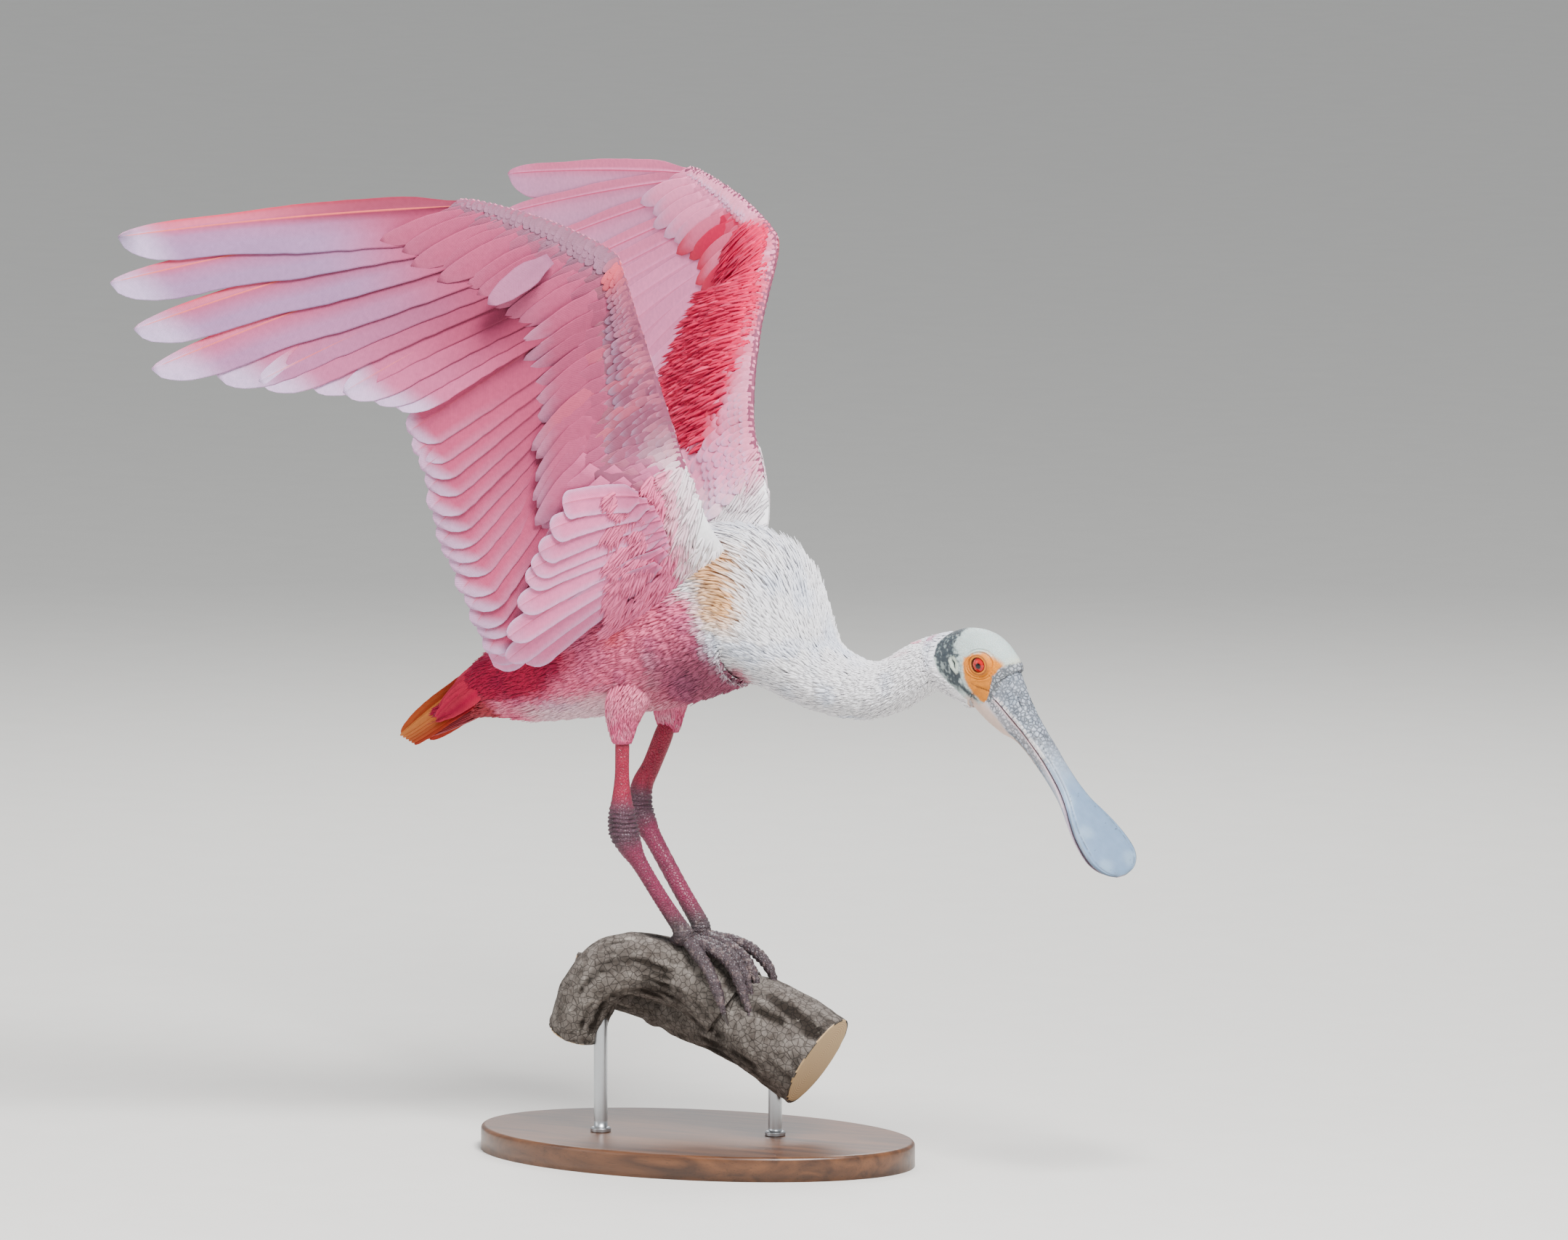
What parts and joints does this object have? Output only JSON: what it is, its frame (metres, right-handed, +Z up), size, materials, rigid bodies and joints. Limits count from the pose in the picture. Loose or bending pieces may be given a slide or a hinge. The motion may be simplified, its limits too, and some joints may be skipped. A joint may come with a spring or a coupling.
{
  "type": "bird figure on display stand",
  "caption": "Life-size still model of a roseate spoonbill gripping a cut branch with raised wings, held on a display stand.",
  "frame": {"origin": "centre of the underside of the stand base", "axes": "+X the way the bird faces, +Y to its left, +Z up"},
  "size_m": [0.6858, 0.5894, 0.7167],
  "materials": {
    "body_feathers": "soft, close-lying pink feathers",
    "neck_feathers": "short white feathers",
    "wing_feathers": "pink flight feathers and coverts",
    "tail_feathers": "carmine coverts over orange tail feathers",
    "head_skin": "bare greenish grey skin",
    "bill_horn": "dull grey horn",
    "leg_skin": "scaly red-pink skin",
    "foot_skin": "dark scaly skin with black claws",
    "eye": "polished red iris",
    "perch_wood": "weathered grey bark",
    "rod_steel": "satin",
    "base_wood": "oiled walnut"
  },
  "bodies": {
    "root": {"torso": "body_feathers", "neck_lower": "neck_feathers", "neck_upper": "neck_feathers", "head": "head_skin", "bill_upper": "bill_horn", "bill_lower": "bill_horn", "tail": "tail_feathers", "stand_perch": "perch_wood", "stand_rod_1": "rod_steel", "stand_rod_2": "rod_steel", "stand_base": "base_wood", "eye_right": "eye", "wing_right_hand": "wing_feathers", "wing_right_forearm": "wing_feathers", "wing_right_upper_arm": "wing_feathers", "leg_right_thigh": "body_feathers", "leg_right_shank": "leg_skin", "leg_right_tarsus": "leg_skin", "leg_right_foot": "foot_skin", "eye_left": "eye", "wing_left_hand": "wing_feathers", "wing_left_forearm": "wing_feathers", "wing_left_upper_arm": "wing_feathers", "leg_left_thigh": "body_feathers", "leg_left_shank": "leg_skin", "leg_left_tarsus": "leg_skin", "leg_left_foot": "foot_skin"}
  },
  "joints": []
}
